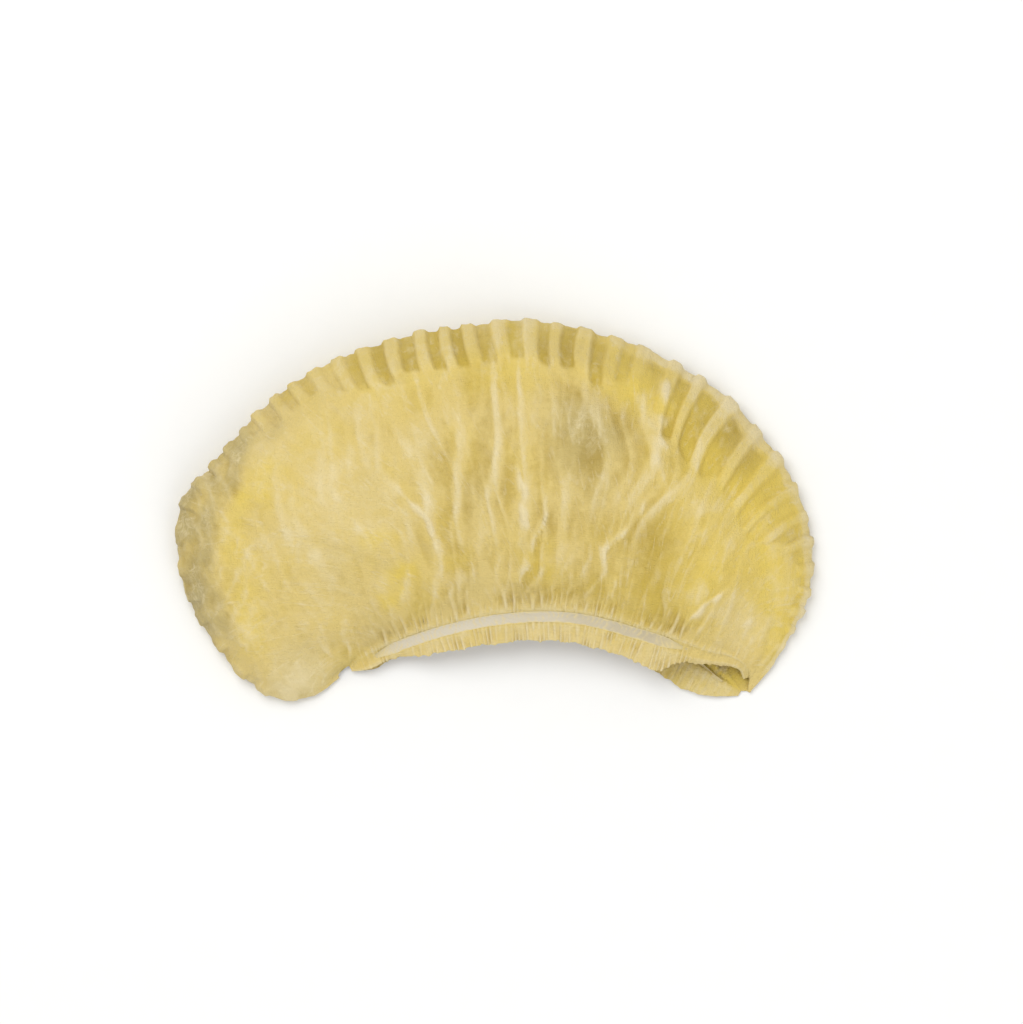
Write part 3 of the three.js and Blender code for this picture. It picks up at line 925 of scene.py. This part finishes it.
def elastic_material(tape):
    """White knitted tape: ribs along it with painted shade between them, small stitches across them,
    faint brownish patches, and the fabric's colour where gathers cover it."""
    s = Shader("elastic")
    split = s.node("ShaderNodeSeparateXYZ", {}, {"Vector": s.cloth()})
    stitches = (split["X"] * (2 * math.pi / STITCH_PITCH)).sine()
    ribs = (split["Y"] * (2 * math.pi / RIB_PITCH)).sine()
    space = s.space()
    cloud, grain = s.noise(space, 60.0, 3.0), s.noise(space, 1300.0, 3.0)
    # Darker, browner patches, growing towards the tape's right end.
    brown_patch = (s.painted("warm") * (0.3 + 1.2 * (cloud - 0.35))).clamped()
    covered = (s.painted("cover") + 0.8 * (grain - 0.5)).clamped()
    # Painted shade between the ribs.
    groove_shade = (0.25 - 0.25 * ribs + 0.4 * (grain - 0.5)).clamped()
    colour = s.mixed(tuple(tape.colour), tuple(tape.brown_patch), brown_patch)
    colour = s.mixed(colour, tuple(tape.gathered), covered)
    colour = s.mixed(colour, tuple(tape.groove_shade), groove_shade)
    height = 0.5 * ribs + 0.25 * stitches * ribs + 0.6 * grain
    bump = s.node("ShaderNodeBump", {}, {"Strength": 0.5, "Distance": 0.0002, "Height": height})
    return s.surface(s.node("ShaderNodeBsdfPrincipled", {}, {
        "Base Color": colour,
        "Roughness": 0.7,
        "Sheen Weight": 0.2,
        "Normal": bump["Normal"],
    })["BSDF"])


def floor_material(stage):
    """Plain pale floor with a very faint grain."""
    s = Shader("floor")
    tone = tuple(stage.floor_colour)
    colour = s.mixed(tone, tuple(0.98 * v for v in tone), s.noise(s.space(), 90.0, 2.0))
    matt = s.node("ShaderNodeBsdfPrincipled", {}, {"Base Color": colour, "Roughness": 0.9})
    return s.surface(matt["BSDF"])


def linear(red, green, blue):
    """A colour picked as 0 to 255 screen values, as the shader's linear ones."""
    return tuple(
        v / 12.92 if v <= 0.04045 else ((v + 0.055) / 1.055) ** 2.4
        for v in (red / 255, green / 255, blue / 255)
    )


def colour_setting(name, description, default):
    return bpy.props.FloatVectorProperty(
        name=name, description=description, default=default, subtype="COLOR", size=3, min=0, max=1
    )


def length_setting(name, description, default):
    return bpy.props.FloatProperty(
        name=name, description=description, default=default, unit="LENGTH", subtype="DISTANCE"
    )


def factor_setting(name, description, default):
    return bpy.props.FloatProperty(
        name=name, description=description, default=default, subtype="FACTOR"
    )


class CapFabricSettings(bpy.types.PropertyGroup):
    strip_length: length_setting("Strip length", "Length the strip was cut to", 0.53)
    thickness: length_setting("Thickness", "Thickness of the dressed fabric", 0.00036)
    flute_depth: factor_setting("Flutes", "Depth of the crown's flutes", 1.0)
    gather_depth: factor_setting("Gathers", "Depth of the gathers at the mouth", 1.0)
    wrinkle_depth: factor_setting("Wrinkles", "Height of the wrinkles and folds", 1.0)
    crumple_depth: factor_setting("Crumples", "Height of the small crumples", 1.0)
    translucency: factor_setting("Translucency", "Share of light that comes through", 0.25)
    # The ridge colour is the painted highlight and the hollow colour the painted shade, and the warm
    # colour deepens that shade; all three also carry the fabric's own tones.
    pale: colour_setting("Ridges", "Fabric on its ridges", linear(240, 225, 178))
    middle: colour_setting("Fabric", "Fabric at its usual", linear(229, 207, 133))
    deep: colour_setting("Hollows", "Fabric in its hollows", linear(184, 156, 62))
    warm: colour_setting("Warm", "Fabric where layers lie on each other", linear(235, 210, 100))
    grey: colour_setting("Grey", "Fabric where it is thin and shaded", linear(198, 182, 128))


class CapElasticSettings(bpy.types.PropertyGroup):
    width: length_setting("Width", "Width of the tape", 0.0052)
    thickness: length_setting("Thickness", "Thickness of the tape", 0.0004)
    ribs: bpy.props.IntProperty(name="Ribs", description="Ribs along the tape", default=9)
    colour: colour_setting("Tape", "Tape's own colour", linear(209, 200, 180))
    # Painted shade between the ribs.
    groove_shade: colour_setting("Grooves", "Tape between its ribs", linear(188, 177, 150))
    # Darker, browner patches on the tape, growing towards its right end.
    brown_patch: colour_setting("Patches", "Tape where it is a little soiled", linear(172, 156, 116))
    gathered: colour_setting("Gathers", "Fabric gathered over the tape", linear(222, 202, 138))


class CapStageSettings(bpy.types.PropertyGroup):
    camera_height: length_setting("Camera height", "Height of the camera over the floor", 1.7)
    lens: bpy.props.FloatProperty(
        name="Lens", description="Focal length", default=135, subtype="DISTANCE_CAMERA"
    )
    key_power: bpy.props.FloatProperty(
        name="Key light", description="Power of the soft key light", default=19, unit="POWER"
    )
    fill: factor_setting("Fill", "Strength of the light from all round", 0.68)
    floor_colour: colour_setting("Floor", "Plain pale floor", (0.84, 0.84, 0.83))


def add_fabric_piece(name, cap):
    """Cuts one piece out of the fabric's grid and gives it its thickness and finish."""
    cut = once("fabric", Fabric, cap)
    first_row, last_row, rests_on, length, width, area = FABRIC_PIECES[name]
    rows = slice(cut.first[first_row], cut.first[last_row] + 1)
    points, normals = cut.points[rows], cut.normals[rows]
    half = normals * cap.thickness / 2
    # The relief's painted highlight and shade go with each piece, beside its tones.
    values = {"stand": cut.stand[rows], "dark": cut.dark[rows], "warm": cut.warm[rows]}
    piece = closed_cloth(name, points + half, points - half, normals, cut.cloth[rows], values)
    piece.data.materials.append(once("nonwoven", nonwoven_material, cap))
    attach(piece, "root")
    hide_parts("cap_body")


class CAP_OT_front_ruffle(bpy.types.Operator):
    """Adds the front ruffle with the smooth band that the tape is welded to"""

    bl_idname = "cap.front_ruffle"
    bl_label = "Front Ruffle"

    def execute(self, context):
        add_fabric_piece("ruffle_front", context.scene.cap_fabric)
        return {"FINISHED"}


class CAP_OT_front_panel(bpy.types.Operator):
    """Adds the puffed front panel with its wrinkles and folds"""

    bl_idname = "cap.front_panel"
    bl_label = "Front Panel"

    def execute(self, context):
        add_fabric_piece("front_panel", context.scene.cap_fabric)
        return {"FINISHED"}


class CAP_OT_crown(bpy.types.Operator):
    """Adds the fluted strip that turns over the crown"""

    bl_idname = "cap.crown"
    bl_label = "Crown"

    def execute(self, context):
        add_fabric_piece("crown", context.scene.cap_fabric)
        return {"FINISHED"}


class CAP_OT_back_panel(bpy.types.Operator):
    """Adds the back panel that lies on the ground, with its own ruffle"""

    bl_idname = "cap.back_panel"
    bl_label = "Back Panel"

    def execute(self, context):
        add_fabric_piece("back_panel", context.scene.cap_fabric)
        return {"FINISHED"}


def tape_relief(tape, u, share, from_end, fan):
    """The tape's underside and top over its band, in millimetres, and how far gathers cover it. The
    underside ripples, and presses up under gathers; the top is its thickness more, with ribs as the
    size of a sine and rounded edges."""
    wave = fan / 2.4 + 0.8 * drift(fan / 8, share * 0.7, 53)
    press = pleat(wave) * np.clip(0.5 + 1.2 * drift(fan / 5, share * 0.9, 54), 0, 1)
    ripple = 0.12 * drift(u * 90, share * 0.8, 51) + 0.15 * drift(u * 30, share * 0.4, 52)
    under = 0.06 + ripple + 0.16 * press - 0.9 * (1 - ease(from_end / 0.05))
    rib = 0.09 * np.abs(np.sin(0.5 * np.pi * tape.ribs * (share + 1)))
    over = under + tape.thickness / MM + rib - 0.2 * np.abs(share) ** 12
    edge = np.clip(np.abs(share) * 4 - 3 + 0.9 * drift(fan / 3, share, 55), 0, 1)
    covered = (
        by_share("tape_cover", u) + 0.8 * press + 1.1 * edge + 1.0 * (1 - ease(from_end / 0.1))
    )
    return under, over, np.clip(covered, 0, 1)


def tape_cloth(name, cap, tape, band, span):
    """One elastic tape. It lies along the middle of the fabric's smooth band, on straight lines
    between the band's edges, and it narrows towards both its ends."""
    cut = once("fabric", Fabric, cap)
    edge_rows = [cut.first[k] for k in band]
    keep = np.flatnonzero((cut.along >= span[0]) & (cut.along <= span[1]))[::2]
    edges, ways = cut.seat[edge_rows][:, keep], cut.seat_normals[edge_rows][:, keep]
    band_width = np.linalg.norm(edges[1] - edges[0], axis=1)
    share = np.linspace(-1, 1, 4 * tape.ribs + 1)[:, None]
    u = cut.along[keep][None, :]
    from_end = np.minimum(u - span[0], span[1] - u)
    narrow = 0.25 + 0.75 * ease(from_end / 0.07)
    fill = np.minimum(tape.width / MM / band_width, 0.98)[None, :]
    place = (0.5 + 0.5 * share * narrow * fill)[..., None]
    middle = edges[0] + (edges[1] - edges[0]) * place
    normals = ways[0] + (ways[1] - ways[0]) * place
    normals /= np.linalg.norm(normals, axis=2, keepdims=True)
    fan, _ = fan_place(middle[..., 0], middle[..., 1])
    under, over, covered = tape_relief(tape, u, share, from_end, fan)
    outer = (middle + normals * over[..., None]) * MM
    inner = (middle + normals * under[..., None]) * MM
    cloth = np.stack([u * cap.strip_length + 0 * share, share * tape.width / 2 + 0 * u], axis=2)
    values = {"warm": by_share("tape_patches", u) + 0 * share, "cover": covered}
    piece = closed_cloth(name, outer, inner, normals, cloth, values)
    piece.data.materials.append(once("elastic", elastic_material, tape))
    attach(piece, "root")
    length = float(np.linalg.norm(np.diff(middle[len(middle) // 2], axis=0), axis=1).sum() * MM)
    return piece, length


class CAP_OT_elastic_tapes(bpy.types.Operator):
    """Adds the two flat elastic tapes along the mouth"""

    bl_idname = "cap.elastic_tapes"
    bl_label = "Elastic Tapes"

    def execute(self, context):
        cap, tape = context.scene.cap_fabric, context.scene.cap_elastic
        for name, node, band, span, holder in [
            ("tape_front", "elastic_front", FRONT_BAND, FRONT_TAPE_SPAN, "ruffle_front"),
            ("tape_back", "elastic_back", BACK_BAND, BACK_TAPE_SPAN, "back_panel"),
        ]:
            piece, length = tape_cloth(name, cap, tape, band, span)
            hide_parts(node)
        return {"FINISHED"}


class CAP_OT_stage(bpy.types.Operator):
    """Adds the pale floor, the soft lights and the camera"""

    bl_idname = "cap.stage"
    bl_label = "Stage"

    def execute(self, context):
        stage, scene = context.scene.cap_stage, context.scene
        far = FLOOR_REACH
        corners = [(-far, -far, 0), (far, -far, 0), (far, far, 0), (-far, far, 0)]
        mesh = bpy.data.meshes.new("floor")
        mesh.from_pydata(corners, [], [(0, 1, 2, 3)])
        floor = bpy.data.objects.new("floor", mesh)
        scene.collection.objects.link(floor)
        mesh.materials.append(floor_material(stage))

        for name, place, size, share in LAMPS:
            light = bpy.data.lights.new(name, "AREA")
            light.shape, light.size, light.energy = "DISK", size, share * stage.key_power
            lamp = bpy.data.objects.new(name, light)
            lamp.location = place
            lamp.rotation_euler = (-Vector(place)).to_track_quat("-Z", "Y").to_euler()
            scene.collection.objects.link(lamp)

        world = bpy.data.worlds.new("studio")
        world.use_nodes = True
        sky = world.node_tree.nodes["Background"]
        sky.inputs["Color"].default_value = (1, 0.995, 0.98, 1)
        sky.inputs["Strength"].default_value = stage.fill
        scene.world = world
        scene.view_settings.view_transform = "Standard"

        lens = bpy.data.cameras.new("camera")
        lens.lens, lens.sensor_width, lens.clip_start = stage.lens, 36, 0.01
        camera = bpy.data.objects.new("camera", lens)
        camera.location = (*CAMERA_PLACE, stage.camera_height)
        scene.collection.objects.link(camera)
        scene.camera = camera
        return {"FINISHED"}


class CAP_PT_looks(bpy.types.Panel):
    """Lists the cap's settings and pieces in the sidebar"""

    bl_idname = "CAP_PT_looks"
    bl_label = "Hair Cap"
    bl_space_type = "VIEW_3D"
    bl_region_type = "UI"
    bl_category = "Hair Cap"

    def draw(self, context):
        for group in (context.scene.cap_fabric, context.scene.cap_elastic, context.scene.cap_stage):
            box = self.layout.box()
            for name in group.__annotations__:
                box.prop(group, name)
        for operator in OPERATORS:
            self.layout.operator(operator.bl_idname)


OPERATORS = [
    CAP_OT_front_ruffle,
    CAP_OT_front_panel,
    CAP_OT_crown,
    CAP_OT_back_panel,
    CAP_OT_elastic_tapes,
    CAP_OT_stage,
]
SETTINGS = {
    "cap_fabric": CapFabricSettings,
    "cap_elastic": CapElasticSettings,
    "cap_stage": CapStageSettings,
}


def register():
    for group in SETTINGS.values():
        bpy.utils.register_class(group)
    for name, group in SETTINGS.items():
        setattr(bpy.types.Scene, name, bpy.props.PointerProperty(type=group))
    for kind in [*OPERATORS, CAP_PT_looks]:
        bpy.utils.register_class(kind)


def unregister():
    for kind in [CAP_PT_looks, *reversed(OPERATORS)]:
        bpy.utils.unregister_class(kind)
    for name in SETTINGS:
        delattr(bpy.types.Scene, name)
    for group in SETTINGS.values():
        bpy.utils.unregister_class(group)


def main():
    """Registers the add-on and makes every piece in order."""
    register()
    bpy.ops.cap.front_ruffle()
    bpy.ops.cap.front_panel()
    bpy.ops.cap.crown()
    bpy.ops.cap.back_panel()
    bpy.ops.cap.elastic_tapes()
    bpy.ops.cap.stage()
    bpy.context.view_layer.update()


if __name__ == "__main__":
    main()
